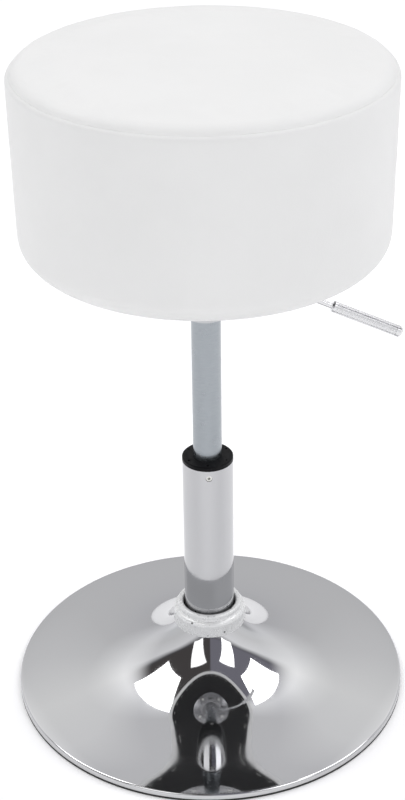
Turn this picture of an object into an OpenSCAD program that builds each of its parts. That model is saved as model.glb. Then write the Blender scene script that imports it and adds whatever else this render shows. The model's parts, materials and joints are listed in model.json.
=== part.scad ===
// Adjustable swivel stool: drum seat on a gas lift column, with a trumpet base.
// Millimetres. Origin on the floor at the column's axis, +Z up, the front towards -Y.
// The stool is drawn at its full height; the seat comes down by the lift stroke.

/* [Base] */
// Radius of the base at its rim
base_r = 198.5; // [180:0.5:220]
// Thickness of the spun steel shell
shell_t = 1.5; // [1:0.1:2.5]
// Radius of the flat land under the collar ring
neck_r = 34; // [33.5:0.1:36]
// Height of the rolled rim's upper edge
rim_z = 8.4; // [8:0.1:10]
// Slope of the flank at the neck, in degrees
neck_slope = 49.3; // [47:0.1:51]
// Radius where the hollow flank turns into the domed skirt
turn_r = 165; // [160:1:170]
// Slope at that radius, the least of the whole face, in degrees
turn_slope = 8.65; // [8:0.05:9.5]
// Slope of the skirt at the rim, in degrees
rim_slope = 11.7; // [10:0.1:14]
// Height of the rubber floor ring
floor_ring_h = 3; // [2:0.5:5]

/* [Collar ring] */
// Outer radius of the ring
ring_r = 36.7; // [35.5:0.1:38]
// Outer radius of the ring's upper lip
ring_lip_r = 32.4; // [30:0.1:34]
// Radius of the ring's bore
ring_bore_r = 26.8; // [26:0.1:27.5]
// Height of the ring
ring_h = 23; // [20:0.5:26]

/* [Column] */
// Radius of the stand tube
tube_r = 25; // [24.5:0.1:25]
// Height of the top of the stand tube's bushing flange
column_top_z = 265; // [250:1:270]
// Radius of the pressure tube
cylinder_r = 14; // [13.9:0.1:14]
// Radius of the piston rod
rod_r = 5; // [4.5:0.1:5]
// Lift stroke, the height that the seat can come down by
stroke = 140; // [100:5:140]

/* [Seat] */
// Height of the top of the seat
seat_top_z = 667; // [655:1:680]
// Thickness of the whole cushion
seat_h = 179; // [165:1:180]
// Radius of the cushion at the top
seat_r = 170; // [165:0.5:180]
// Amount by which the radius is smaller at the bottom
seat_draft = 1.5; // [0:0.5:3]
// Radius of the upper edge
top_edge_r = 15; // [10:1:20]
// Radius of the lower edge
bottom_edge_r = 22; // [18:1:24]
// Rise of the top panel from its edge to its middle
crown_h = 3; // [1:0.5:6]
// Thickness of the upholstery cover
cover_t = 1.5; // [1:0.1:2]

/* [Lever] */
// Direction of the lever seen from above, as an angle from +X
lever_angle = 3.2; // [-60:0.1:60]
// Angle by which the lever's arm hangs below the horizontal
lever_droop = 24.7; // [15:0.1:26]
// Height of the lever's tongue at the column
lever_z = 464; // [463:1:465]
// Distance from the column's axis to the bend between tongue and arm
lever_bend_r = 25; // [24:0.5:27]
// Distance from the column's axis to the lever's pivot
lever_pivot_r = 38; // [36:1:40]
// Radius of the lever's rod
lever_rod_r = 2.6; // [2.4:0.1:3]
// Distance along the arm from the bend to the inner end of the grip
grip_start = 102.2; // [90:0.1:110]
// Length of the grip
grip_len = 72.5; // [60:0.5:80]
// Radius of the grip
grip_r = 5.4; // [5:0.1:6]
// Number of grooves along the grip
grip_flutes = 14; // [10:1:16]

/* [Hidden] */
$fn = 96;

// Clearances: pressed or bonded faces, running fits, and free gaps
press_gap = 0.02;
run_gap = 0.05;
free_gap = 0.4;

chrome = [0.80, 0.81, 0.83];
satin_steel = [0.66, 0.67, 0.69];
zinc = [0.72, 0.73, 0.72];
iron = [0.30, 0.30, 0.31];
black = [0.08, 0.08, 0.09];
rubber_black = [0.05, 0.05, 0.05];
white_vinyl = [0.93, 0.93, 0.92];
foam_cream = [0.93, 0.88, 0.72];
plywood = [0.78, 0.64, 0.45];
brass = [0.78, 0.62, 0.30];

// ---- Base outline -------------------------------------------------------------------
rim_fold_r = 2.5;
rim_fold_z = rim_z - rim_fold_r + 0.05;
rim_fold_centre = base_r - rim_fold_r;
outline_steps = 36;

// The flank's slope above its least, as a share of the neck's, against the share of the way
// from the neck to the turn
flank_share = [
    [0, 1], [0.076, 0.845], [0.168, 0.615], [0.26, 0.486], [0.351, 0.386], [0.443, 0.29],
    [0.534, 0.2], [0.641, 0.101], [0.748, 0.057], [0.847, 0.025], [0.947, 0.002], [1, 0]
];
function slope_at(r) = r < turn_r
    ? turn_slope + (neck_slope - turn_slope)
        * lookup((r - neck_r) / (turn_r - neck_r), flank_share)
    : turn_slope + (rim_slope - turn_slope) * pow((r - turn_r) / (base_r - turn_r), 3);

// The outer face is summed upwards from the rolled rim, which it meets in its tangent.
face_end_slope = slope_at(rim_fold_centre);
face_end_r = rim_fold_centre + rim_fold_r * sin(face_end_slope);
face_end_z = rim_fold_z + rim_fold_r * cos(face_end_slope);
function step_r(i) = neck_r + (face_end_r - neck_r) * i / outline_steps;
function step_z(i) = i >= outline_steps ? face_end_z
    : step_z(i + 1) + (step_r(i + 1) - step_r(i)) * tan(slope_at((step_r(i) + step_r(i + 1)) / 2));

// Face and rolled rim, from the neck to the wall, moved inwards by inset
function shell_outline(inset) = concat(
    [for (i = [0 : outline_steps - 1]) let (a = slope_at(step_r(i)))
        [step_r(i) - inset * sin(a), step_z(i) - inset * cos(a)]],
    [for (i = [0 : 6])
        let (b = (90 - face_end_slope) * (1 - i / 6))
        [rim_fold_centre + (rim_fold_r - inset) * cos(b),
         rim_fold_z + (rim_fold_r - inset) * sin(b)]]
);

neck_z = step_z(0);
land_z = neck_z + 1.6;
land_bore_r = tube_r + 1;
ring_z = land_z;

// ---- Shared helpers -------------------------------------------------------------------
module washer(outer_r, inner_r, z0, z1) {
    translate([0, 0, z0]) difference() {
        cylinder(h = z1 - z0, r = outer_r);
        translate([0, 0, -1]) cylinder(h = z1 - z0 + 2, r = inner_r);
    }
}

module around(count, radius, start = 0) {
    for (i = [0 : count - 1])
        rotate([0, 0, start + i * 360 / count]) translate([radius, 0, 0]) children();
}

module along_lever() {
    translate([0, 0, lever_z]) rotate([0, 0, lever_angle]) children();
}

// Frame of the lever's arm: +X runs from the bend outwards and down
module along_arm() {
    along_lever() translate([lever_bend_r, 0, 0]) rotate([0, lever_droop, 0]) children();
}

// A bar along +X from x0 to x1
module bar_x(radius, x0, x1) {
    translate([x0, 0, 0]) rotate([0, 90, 0]) cylinder(h = x1 - x0, r = radius);
}

// ---- Base ---------------------------------------------------------------------------------
function reversed(list) = [for (i = [len(list) - 1 : -1 : 0]) list[i]];

module base_shell() {
    color(chrome) rotate_extrude() polygon(concat(
        [[land_bore_r, land_z - shell_t], [land_bore_r, land_z], [neck_r - 1.6, land_z],
         [neck_r - 0.5, land_z - 0.5]],
        shell_outline(0),
        [[base_r, floor_ring_h], [base_r - shell_t, floor_ring_h]],
        reversed(shell_outline(shell_t)),
        [[neck_r - 2.4, land_z - shell_t]]
    ));
}

module floor_ring() {
    ring_in = base_r - 7;
    color(rubber_black) rotate_extrude() polygon([
        [ring_in, 0], [base_r - 0.8, 0], [base_r, 0.8], [base_r, floor_ring_h],
        [ring_in, floor_ring_h]
    ]);
}

cover_z0 = 1.2;
weight_z0 = floor_ring_h;
weight_z1 = 11.5;
weight_bore_r = 35;
cover_r = base_r - 7.4;
bolt_circle_r = 52;

module base_cover() {
    screw_hole_r = 3;
    color(black) difference() {
        washer(cover_r, 8, cover_z0, weight_z0 - 0.1);
        around(4, 120, 45) translate([0, 0, cover_z0 - 1]) cylinder(h = 4, r = screw_hole_r);
    }
}

// Ballast: a cast ring with a thin flange that reaches the rolled rim
module base_weight() {
    flange_z1 = 5.9;
    body_r = 150;
    color(iron) difference() {
        rotate_extrude() polygon([
            [weight_bore_r, weight_z0], [base_r - shell_t - 0.6, weight_z0],
            [base_r - shell_t - 0.6, flange_z1], [body_r + 6, flange_z1],
            [body_r, weight_z1], [weight_bore_r, weight_z1]
        ]);
        around(4, bolt_circle_r, 45) translate([0, 0, weight_z0 - 1])
            cylinder(h = weight_z1, r = 4 + press_gap);
    }
}

hub_r = 30;
hub_flange_t = 4;
tube_foot_z = 16;
taper_start_z = 66;
tube_foot_r = tube_r - 0.8;

// Socket that the tapered foot of the stand tube is pressed into
module base_hub() {
    hub_top_z = land_z - shell_t - 0.1;
    flange_r = 66;
    foot_bore_r = tube_foot_r + press_gap;
    color(iron) difference() {
        rotate_extrude() polygon([
            [foot_bore_r - 0.07, weight_z1],
            [flange_r, weight_z1], [flange_r, weight_z1 + hub_flange_t],
            [hub_r + 4, weight_z1 + hub_flange_t], [hub_r, weight_z1 + hub_flange_t + 4],
            [hub_r, hub_top_z], [tube_r + press_gap, hub_top_z],
            [tube_r + press_gap, taper_start_z], [foot_bore_r, tube_foot_z]
        ]);
        around(4, bolt_circle_r, 45) translate([0, 0, weight_z1 - 1])
            cylinder(h = hub_flange_t + 2, r = 4 + free_gap);
    }
}

module hub_bolts() {
    head_h = 5.3;
    head_z = weight_z1 + hub_flange_t;
    color(zinc) around(4, bolt_circle_r, 45) {
        translate([0, 0, weight_z0 + 0.2]) cylinder(h = head_z - weight_z0, r = 4);
        translate([0, 0, head_z]) cylinder(h = head_h, r = 7.5, $fn = 6);
    }
}

// Chromed ring that covers the joint between the tube and the shell
module collar_ring() {
    lip_h = 6;
    shoulder_r = 4;
    edge_r = 1.2;
    shoulder_z = ring_z + ring_h - lip_h;
    color(chrome) rotate_extrude() polygon(concat(
        [[ring_bore_r + 2.5, ring_z + 0.05], [ring_r - 0.8, ring_z + 0.05], [ring_r, ring_z + 0.8]],
        [for (i = [0 : 8]) let (a = i * 90 / 8)
            [ring_r - shoulder_r * (1 - cos(a)), shoulder_z - shoulder_r * (1 - sin(a))]],
        [[ring_lip_r, shoulder_z]],
        [for (i = [0 : 6]) let (a = i * 90 / 6)
            [ring_lip_r - edge_r * (1 - cos(a)), ring_z + ring_h - edge_r * (1 - sin(a))]],
        [for (i = [0 : 4]) let (a = 90 + i * 90 / 4)
            [ring_bore_r + edge_r * (1 + cos(a)), ring_z + ring_h - edge_r * (1 - sin(a))]],
        [[ring_bore_r, shoulder_z - 3], [ring_bore_r + 2.5, shoulder_z - 3]]
    ));
}

seal_z = ring_z + 14.1;
module collar_seal() {
    color(rubber_black) washer(ring_bore_r + 2.4, tube_r + press_gap, seal_z - 4, seal_z - 0.2);
}

// ---- Stand tube --------------------------------------------------------------------------
tube_wall = 1.5;
flange_h = 4.5;
tube_top_z = column_top_z - flange_h;
bushing_len = 70;
set_screw_z = tube_top_z - 8;
set_screw_r = 3;
set_screw_angle = -87.3;
tube_floor_t = 3;
stud_r = rod_r - 1;

module outer_tube() {
    color(chrome) difference() {
        union() {
            translate([0, 0, taper_start_z])
                cylinder(h = tube_top_z - taper_start_z, r = tube_r);
            translate([0, 0, tube_foot_z])
                cylinder(h = taper_start_z - tube_foot_z, r1 = tube_foot_r, r2 = tube_r);
        }
        translate([0, 0, taper_start_z])
            cylinder(h = tube_top_z, r = tube_r - tube_wall);
        translate([0, 0, tube_foot_z + tube_floor_t])
            cylinder(h = taper_start_z, r = tube_foot_r - tube_wall);
        translate([0, 0, tube_foot_z - 1]) cylinder(h = tube_floor_t + 2, r = stud_r + run_gap);
        for (turn = [0 : 2]) set_screw_hole(set_screw_angle + turn * 120, set_screw_r + 0.2);
    }
}

module set_screw_hole(angle, radius) {
    rotate([0, 0, angle]) translate([tube_r - 8, 0, set_screw_z])
        rotate([0, 90, 0]) cylinder(h = 12, r = radius);
}

// Plastic guide that the pressure tube slides in, with a flange on the tube's end
module guide_bushing() {
    vent_r = 1.1;
    color(black) difference() {
        union() {
            translate([0, 0, tube_top_z + press_gap]) rotate_extrude() polygon([
                [0, 0], [tube_r, 0], [tube_r, flange_h - 1], [tube_r - 1, flange_h - press_gap],
                [0, flange_h - press_gap]
            ]);
            translate([0, 0, column_top_z - bushing_len - flange_h])
                cylinder(h = bushing_len + 1, r = tube_r - tube_wall - press_gap);
        }
        translate([0, 0, column_top_z - bushing_len - flange_h - 1])
            cylinder(h = bushing_len + flange_h + 2, r = cylinder_r + run_gap);
        for (turn = [0 : 2]) set_screw_hole(set_screw_angle + turn * 120, set_screw_r + press_gap);
        around(6, 21, 30) translate([0, 0, column_top_z - 2]) cylinder(h = 3, r = vent_r);
    }
}

module bushing_screws() {
    screw_len = 6.5;
    socket_r = 1.5;
    color(zinc) for (turn = [0 : 2]) rotate([0, 0, set_screw_angle + turn * 120])
        translate([tube_r - 0.5 - screw_len, 0, set_screw_z]) rotate([0, 90, 0]) difference() {
            cylinder(h = screw_len, r = set_screw_r);
            translate([0, 0, screw_len - 2.5]) cylinder(h = 3, r = socket_r, $fn = 6);
        }
}

// ---- Thrust bearing at the foot of the column -------------------------------------------
ball_r = 1.6;
ball_circle_r = 8.7;
ball_count = 9;
race_outer_r = 12.4;
race_t = 2.7;
race_floor_z = tube_foot_z + tube_floor_t;
ball_z = race_floor_z + race_t + ball_r - 0.45;
upper_race_z = ball_z + ball_r - 0.45;

module ball_groove() {
    translate([0, 0, ball_z]) rotate_extrude() translate([ball_circle_r, 0])
        circle(r = ball_r + run_gap, $fn = 32);
}

module bearing_lower_race() {
    color(satin_steel) difference() {
        washer(race_outer_r, stud_r + free_gap, race_floor_z, race_floor_z + race_t);
        ball_groove();
    }
}

module bearing_upper_race() {
    color(satin_steel) difference() {
        washer(race_outer_r - 0.4, stud_r + press_gap, upper_race_z, upper_race_z + race_t);
        ball_groove();
    }
}

module ball_cage() {
    cage_half = 0.5;
    color(brass) difference() {
        washer(race_outer_r - 1.2, stud_r + 1.6, ball_z - cage_half, ball_z + cage_half);
        around(ball_count, ball_circle_r) translate([0, 0, ball_z - 2])
            cylinder(h = 4, r = ball_r + 0.04, $fn = 32);
    }
}

module bearing_balls() {
    color(chrome) around(ball_count, ball_circle_r) translate([0, 0, ball_z])
        sphere(r = ball_r, $fn = 32);
}

// ---- Piston rod ----------------------------------------------------------------------------
rod_foot_z = 11;
rod_shoulder_z = upper_race_z + race_t;
washer_z1 = tube_foot_z - 0.1;
washer_z0 = washer_z1 - 1;
clip_z0 = washer_z0 - 1.3;
piston_z0 = 222;
piston_h = 12;
groove_r = stud_r - 0.7;
lowest_foot_z = 55;
cylinder_foot_z = lowest_foot_z + stroke;
cylinder_bore_r = cylinder_r - 1.5;

module piston_rod() {
    color(chrome) difference() {
        union() {
            translate([0, 0, rod_foot_z]) cylinder(h = rod_shoulder_z - rod_foot_z, r = stud_r);
            translate([0, 0, rod_shoulder_z]) cylinder(h = piston_z0 - rod_shoulder_z, r = rod_r);
            translate([0, 0, piston_z0]) cylinder(h = piston_h, r = stud_r);
        }
        washer(stud_r + 1, groove_r, clip_z0 - 0.05, clip_z0 + 1.25);
    }
}

module piston_head() {
    seal_groove_r = 10;
    color(brass) difference() {
        washer(cylinder_bore_r - 0.2, stud_r + press_gap, piston_z0, piston_z0 + piston_h);
        washer(cylinder_bore_r + 1, seal_groove_r, piston_z0 + 4, piston_z0 + 8);
    }
}

module piston_seal() {
    color(rubber_black)
        washer(cylinder_bore_r - run_gap, 10 + press_gap, piston_z0 + 4.1, piston_z0 + 7.9);
}

module rubber_buffer() {
    buffer_h = 13;
    color(rubber_black)
        washer(11, rod_r + press_gap, rod_shoulder_z + 0.02, rod_shoulder_z + buffer_h);
}

module rod_washer() {
    color(zinc) washer(9, stud_r + press_gap, washer_z0, washer_z1);
}

// Spring clip in the groove at the rod's foot
module rod_clip() {
    color(zinc) difference() {
        washer(7.5, groove_r + press_gap, clip_z0, clip_z0 + 1.2);
        translate([0, -2, clip_z0 - 1]) cube([12, 4, 4]);
    }
}

// ---- Pressure tube ------------------------------------------------------------------------
cylinder_taper_z = 418;
cylinder_top_z = 451;
cylinder_top_r = 13.3;
valve_bore_r = 11.6;
valve_z0 = 413;
end_wall = 2;

module gas_cylinder() {
    color(satin_steel) difference() {
        union() {
            translate([0, 0, cylinder_foot_z + 1])
                cylinder(h = cylinder_taper_z - cylinder_foot_z - 1, r = cylinder_r);
            translate([0, 0, cylinder_foot_z]) cylinder(h = 1, r1 = cylinder_r - 1, r2 = cylinder_r);
            translate([0, 0, cylinder_taper_z])
                cylinder(h = cylinder_top_z - cylinder_taper_z, r1 = cylinder_r, r2 = cylinder_top_r);
        }
        translate([0, 0, cylinder_foot_z + end_wall])
            cylinder(h = valve_z0 - cylinder_foot_z - end_wall, r = cylinder_bore_r);
        translate([0, 0, valve_z0 - 1])
            cylinder(h = cylinder_top_z - end_wall - valve_z0 + 1, r = valve_bore_r);
        translate([0, 0, cylinder_foot_z - 1]) cylinder(h = end_wall + 2, r = 8);
        translate([0, 0, cylinder_top_z - end_wall - 1]) cylinder(h = end_wall + 2, r = 6);
    }
}

guide_z0 = cylinder_foot_z + end_wall + 0.1;
module rod_guide() {
    color(brass) washer(cylinder_bore_r - press_gap, rod_r + run_gap, guide_z0, guide_z0 + 13);
}

module rod_seal() {
    color(rubber_black)
        washer(cylinder_bore_r - press_gap, rod_r + 0.03, guide_z0 + 13.1, guide_z0 + 18);
}

valve_stem_r = 2.5;
valve_stem_z0 = 425;
button_z0 = 452.5;
button_z1 = lever_z - 4.4;
module valve_body() {
    color(brass) difference() {
        translate([0, 0, valve_z0 + 1])
            cylinder(h = cylinder_top_z - end_wall - valve_z0 - 1.1, r = valve_bore_r - press_gap);
        translate([0, 0, valve_stem_z0 - 6])
            cylinder(h = cylinder_top_z - valve_stem_z0 + 10, r = valve_stem_r + run_gap);
    }
}

module valve_pin() {
    button_r = 4;
    dome_h = 1.4;
    color(chrome) union() {
        translate([0, 0, valve_stem_z0])
            cylinder(h = button_z0 - valve_stem_z0 + 4.5, r = valve_stem_r);
        translate([0, 0, button_z0 + 4.1])
            cylinder(h = button_z1 - dome_h - button_z0 - 4.1, r = button_r);
        translate([0, 0, button_z1 - dome_h]) cylinder(h = dome_h, r1 = button_r, r2 = 1.6);
    }
}

// ---- Seat plate and lever seat -----------------------------------------------------------
seat_bottom_z = seat_top_z - seat_h;
dust_t = 0.8;
dust_z0 = seat_bottom_z - 1;
plate_r = 68;
plate_t = 2.4;
plate_z1 = dust_z0 - 0.1;
dish_r = 34;
dish_depth = 13.4;
plate_bolt_circle_r = 52;
plate_bolt_r = 3;
dish_z0 = plate_z1 - plate_t - dish_depth;

// Pressed steel plate: flat rim, a ring bead, and a dish down to the socket
module seat_plate() {
    bead_r = 61;
    color(satin_steel) difference() {
        rotate_extrude() polygon([
            [16, dish_z0], [dish_r - 2, dish_z0], [dish_r, dish_z0 + 1.5],
            [dish_r + 4, plate_z1 - plate_t - 1.5], [dish_r + 6, plate_z1 - plate_t],
            [bead_r - 2.5, plate_z1 - plate_t], [bead_r - 1.2, plate_z1 - plate_t - 1.4],
            [bead_r + 1.2, plate_z1 - plate_t - 1.4], [bead_r + 2.5, plate_z1 - plate_t],
            [plate_r, plate_z1 - plate_t], [plate_r, plate_z1],
            [bead_r + 2, plate_z1], [bead_r + 0.8, plate_z1 - 1.4],
            [bead_r - 0.8, plate_z1 - 1.4], [bead_r - 2, plate_z1],
            [dish_r + 4.5, plate_z1], [dish_r + 2.3, plate_z1 - 1.2],
            [dish_r - 1.6, dish_z0 + plate_t + 0.9], [dish_r - 2.8, dish_z0 + plate_t],
            [16, dish_z0 + plate_t]
        ]);
        around(4, plate_bolt_circle_r, 45) translate([0, 0, plate_z1 - 10])
            cylinder(h = 14, r = plate_bolt_r + free_gap);
    }
}

socket_r = 19;
tongue_w = 8;
tongue_h = 8;
// Socket for the pressure tube's taper, with a slot for the lever's tongue
module taper_socket() {
    slot_z = lever_z - 11;
    color(satin_steel) difference() {
        translate([0, 0, cylinder_taper_z]) cylinder(h = dish_z0 - cylinder_taper_z - 0.02, r = socket_r);
        translate([0, 0, cylinder_taper_z])
            cylinder(h = cylinder_top_z - cylinder_taper_z,
                     r1 = cylinder_r + press_gap, r2 = cylinder_top_r + press_gap);
        translate([0, 0, cylinder_top_z - 0.5]) cylinder(h = 30, r = cylinder_top_r + press_gap);
        rotate([0, 0, lever_angle]) translate([0, -tongue_w / 2 - 0.8, slot_z])
            cube([socket_r + 5, tongue_w + 1.6, 40]);
    }
}

pivot_pin_r = 2.5;
pivot_drop = (lever_pivot_r - lever_bend_r) * tan(lever_droop);
ear_t = 2.5;
ear_gap = tongue_w / 2 + 0.5;
module along_pivot() {
    along_lever() translate([lever_pivot_r, 0, -pivot_drop]) rotate([90, 0, 0]) children();
}

// Two cheeks that hang from the plate's dish and stand against the socket
module lever_bracket() {
    cheek_top = dish_z0 - lever_z - 0.02;
    cheek_end = lever_pivot_r + 7;
    color(satin_steel) difference() {
        along_lever() for (side = [0, 1]) translate([0, side ? ear_gap + ear_t : -ear_gap, 0])
            rotate([90, 0, 0]) linear_extrude(height = ear_t) polygon([
                [socket_r - 5, cheek_top], [dish_r - 3, cheek_top], [cheek_end, 4 - pivot_drop],
                [cheek_end, -6.5 - pivot_drop], [cheek_end - 14, -6.5 - pivot_drop],
                [socket_r - 5, -9]
            ]);
        translate([0, 0, cylinder_taper_z]) cylinder(h = 60, r = socket_r + press_gap);
        along_pivot() cylinder(h = 40, r = pivot_pin_r + press_gap, center = true);
    }
}

module lever_pin() {
    color(zinc) along_pivot()
        cylinder(h = 2 * (ear_gap + ear_t + 1.5), r = pivot_pin_r, center = true);
}

board_z0 = seat_bottom_z + cover_t + 0.1;
board_t = 12;
module plate_bolts() {
    head_h = 4;
    head_r = 5.8;
    shank_top = board_z0 + board_t + 4;
    color(zinc) around(4, plate_bolt_circle_r, 45) {
        translate([0, 0, plate_z1 - plate_t - head_h - 0.02]) cylinder(h = head_h, r = head_r, $fn = 6);
        translate([0, 0, plate_z1 - plate_t - 0.1])
            cylinder(h = shank_top - plate_z1 + plate_t, r = plate_bolt_r);
    }
}

t_nut_barrel_r = 4.2;
module t_nuts() {
    t_nut_flange_r = 9;
    color(zinc) around(4, plate_bolt_circle_r, 45) {
        washer(t_nut_barrel_r, plate_bolt_r + press_gap, board_z0 + 2, board_z0 + board_t);
        washer(t_nut_flange_r, plate_bolt_r + press_gap, board_z0 + board_t,
               board_z0 + board_t + 1.5);
    }
}

// ---- Seat carcass -----------------------------------------------------------------------------
board_r = 146;
hoop_t = 6;
hoop_z1 = 622;
module seat_board() {
    color(plywood) difference() {
        translate([0, 0, board_z0]) cylinder(h = board_t - 0.02, r = board_r);
        around(4, plate_bolt_circle_r, 45) translate([0, 0, board_z0 - 1])
            cylinder(h = board_t + 2, r = t_nut_barrel_r + press_gap);
    }
}

module side_hoop() {
    hoop_z0 = board_z0 + 2.4;
    color(plywood) washer(board_r + 0.1 + hoop_t, board_r + 0.1, hoop_z0, hoop_z1);
}

module top_board() {
    color(plywood) translate([0, 0, hoop_z1 - board_t]) cylinder(h = board_t, r = board_r);
}

// Half outline of the cushion, moved inwards by inset. The top panel is a shallow crown
// that leaves the edge's arc without a corner.
edge_steps = 8;
bottom_arc_r = seat_r - seat_draft - bottom_edge_r;
bottom_arc_z = seat_bottom_z + bottom_edge_r;
top_arc_r = seat_r - top_edge_r;
top_arc_z = seat_top_z - crown_h - top_edge_r;
crown_slope = atan(2 * crown_h / top_arc_r);
function edge_arc(x, z, r, a0, a1) = [for (i = [0 : edge_steps])
    let (a = a0 + (a1 - a0) * i / edge_steps) [x + r * cos(a), z + r * sin(a)]];
function cushion_bottom(inset) =
    edge_arc(bottom_arc_r, bottom_arc_z, bottom_edge_r - inset, -90, 0);
function crown_z(r) = seat_top_z - crown_h * pow(r / top_arc_r, 2);
function cushion_top(inset) = concat(
    edge_arc(top_arc_r, top_arc_z, top_edge_r - inset, 0, 90 - crown_slope),
    [for (i = [1 : edge_steps]) let (r = top_arc_r * (1 - i / edge_steps)) [r, crown_z(r) - inset]]
);
// Radius of the flat side at height z, moved inwards by inset
function side_r(z, inset) =
    seat_r - inset - seat_draft * (top_arc_z - z) / (top_arc_z - bottom_arc_z);
foam_inset = cover_t + 0.1;

module foam_top() {
    color(foam_cream) rotate_extrude() polygon(concat(
        [[0, hoop_z1 + 0.05], [side_r(hoop_z1, foam_inset), hoop_z1 + 0.05]],
        cushion_top(foam_inset)
    ));
}

module foam_side() {
    inner_r = board_r + hoop_t + 0.15;
    color(foam_cream) rotate_extrude() polygon(concat(
        [[inner_r, hoop_z1], [inner_r, board_z0 + 2.8]],
        [for (p = cushion_bottom(foam_inset)) if (p[0] > inner_r + 0.5) p],
        [[side_r(hoop_z1, foam_inset), hoop_z1]]
    ));
}

// Sewn cover: top panel and side band, with a hem turned under the board
module seat_cover() {
    hem_r = 125;
    color(white_vinyl) rotate_extrude() polygon(concat(
        [[hem_r, seat_bottom_z + cover_t], [hem_r, seat_bottom_z]],
        cushion_bottom(0), cushion_top(0),
        reversed(cushion_top(cover_t)), reversed(cushion_bottom(cover_t))
    ));
}

staple_circle_r = 140;
module dust_cover() {
    color(black) difference() {
        translate([0, 0, dust_z0]) cylinder(h = dust_t, r = 149);
        around(4, plate_bolt_circle_r, 45) translate([0, 0, dust_z0 - 1])
            cylinder(h = 3, r = plate_bolt_r + free_gap);
    }
}

module cover_staples() {
    staple_count = 24;
    crown_w = 10;
    wire = 0.8;
    leg_h = 8;
    color(zinc) around(staple_count, staple_circle_r, 3) {
        translate([-wire / 2, -crown_w / 2, dust_z0 - wire]) cube([wire, crown_w, wire]);
        for (side = [-1, 1]) translate([-wire / 2, side * (crown_w - wire) / 2 - wire / 2,
            dust_z0 - wire]) cube([wire, wire, leg_h]);
    }
}

// ---- Lever ----------------------------------------------------------------------------------
arm_end = 40;
rod_socket_start = 25;
// A point of the bent tongue, at the distance and height along its arm
function arm_point(s, h) = [
    lever_bend_r + s * cos(lever_droop) + h * sin(lever_droop),
    h * cos(lever_droop) - s * sin(lever_droop)
];

module lever_tongue() {
    tip = -6;
    half = tongue_h / 2;
    mitre = half * tan(lever_droop / 2);
    flat_end = arm_end - 10;
    color(satin_steel) difference() {
        union() {
            along_lever() translate([0, tongue_w / 2, 0]) rotate([90, 0, 0])
                linear_extrude(height = tongue_w) polygon([
                    [tip, -half], [lever_bend_r - mitre, -half], arm_point(flat_end, -half),
                    arm_point(flat_end, half), [lever_bend_r + mitre, half], [tip, half]
                ]);
            along_arm() bar_x(half, flat_end - 2, arm_end);
        }
        along_pivot() cylinder(h = 30, r = pivot_pin_r + run_gap, center = true);
        along_arm() bar_x(lever_rod_r + press_gap, rod_socket_start, arm_end + 1);
    }
}

module lever_rod() {
    color(chrome) along_arm()
        bar_x(lever_rod_r, rod_socket_start + 0.1, grip_start + grip_len - 4);
}

module lever_grip() {
    cap_len = 2;
    flute_r = 0.8;
    flute_start = 3;
    flute_end = grip_len - 6;
    color(chrome) along_arm() translate([grip_start, 0, 0]) rotate([0, 90, 0]) difference() {
        union() {
            cylinder(h = 1, r1 = grip_r - 1, r2 = grip_r);
            translate([0, 0, 1]) cylinder(h = grip_len - 1 - cap_len, r = grip_r);
            translate([0, 0, grip_len - cap_len])
                cylinder(h = cap_len, r1 = grip_r, r2 = grip_r - 1.4);
        }
        translate([0, 0, -1]) cylinder(h = grip_len - 2.5, r = lever_rod_r + press_gap);
        for (i = [0 : grip_flutes - 1]) rotate([0, 0, i * 360 / grip_flutes])
            translate([grip_r + 0.15, 0, flute_start])
                cylinder(h = flute_end - flute_start, r = flute_r, $fn = 24);
    }
}

base_shell();
floor_ring();
base_cover();
base_weight();
base_hub();
hub_bolts();
collar_ring();
collar_seal();
outer_tube();
guide_bushing();
bushing_screws();
bearing_lower_race();
ball_cage();
bearing_balls();
bearing_upper_race();
piston_rod();
piston_head();
piston_seal();
rubber_buffer();
rod_washer();
rod_clip();
gas_cylinder();
rod_guide();
rod_seal();
valve_body();
valve_pin();
seat_plate();
taper_socket();
lever_bracket();
lever_pin();
plate_bolts();
t_nuts();
seat_board();
side_hoop();
top_board();
foam_top();
foam_side();
seat_cover();
dust_cover();
cover_staples();
lever_tongue();
lever_rod();
lever_grip();
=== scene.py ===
"""Adjustable swivel stool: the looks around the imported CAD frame. Metres, +Z up."""

import json
import math

import bmesh
import bpy
from mathutils import Matrix, Vector, noise


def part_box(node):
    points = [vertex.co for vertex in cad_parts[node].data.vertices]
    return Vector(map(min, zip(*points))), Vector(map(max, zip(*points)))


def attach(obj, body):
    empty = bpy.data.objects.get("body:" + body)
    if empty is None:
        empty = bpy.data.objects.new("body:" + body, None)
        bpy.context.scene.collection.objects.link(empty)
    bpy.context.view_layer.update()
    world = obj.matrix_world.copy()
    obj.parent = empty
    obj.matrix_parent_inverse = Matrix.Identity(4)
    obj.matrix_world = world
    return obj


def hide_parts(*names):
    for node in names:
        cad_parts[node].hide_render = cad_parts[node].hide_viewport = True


MM = 0.001

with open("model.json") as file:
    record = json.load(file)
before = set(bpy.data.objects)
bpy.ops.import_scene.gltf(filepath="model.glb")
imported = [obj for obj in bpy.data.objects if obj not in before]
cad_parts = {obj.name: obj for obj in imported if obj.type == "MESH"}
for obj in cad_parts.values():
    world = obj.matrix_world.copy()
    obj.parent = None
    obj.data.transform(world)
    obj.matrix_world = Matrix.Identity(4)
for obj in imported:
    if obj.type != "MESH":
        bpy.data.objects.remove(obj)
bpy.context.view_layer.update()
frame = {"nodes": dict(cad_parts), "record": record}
nodes = frame["nodes"]


# ---- Camera ------------------------------------------------------------------------

CAMERA_PLACE = Vector((0.0, -1.3933, 1.1233))
CAMERA_PAN = -0.0030
CAMERA_PITCH = 0.5197
CAMERA_ROLL = -0.0146
CAMERA_LENS = 75.64
CAMERA_SENSOR = 36.0


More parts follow.
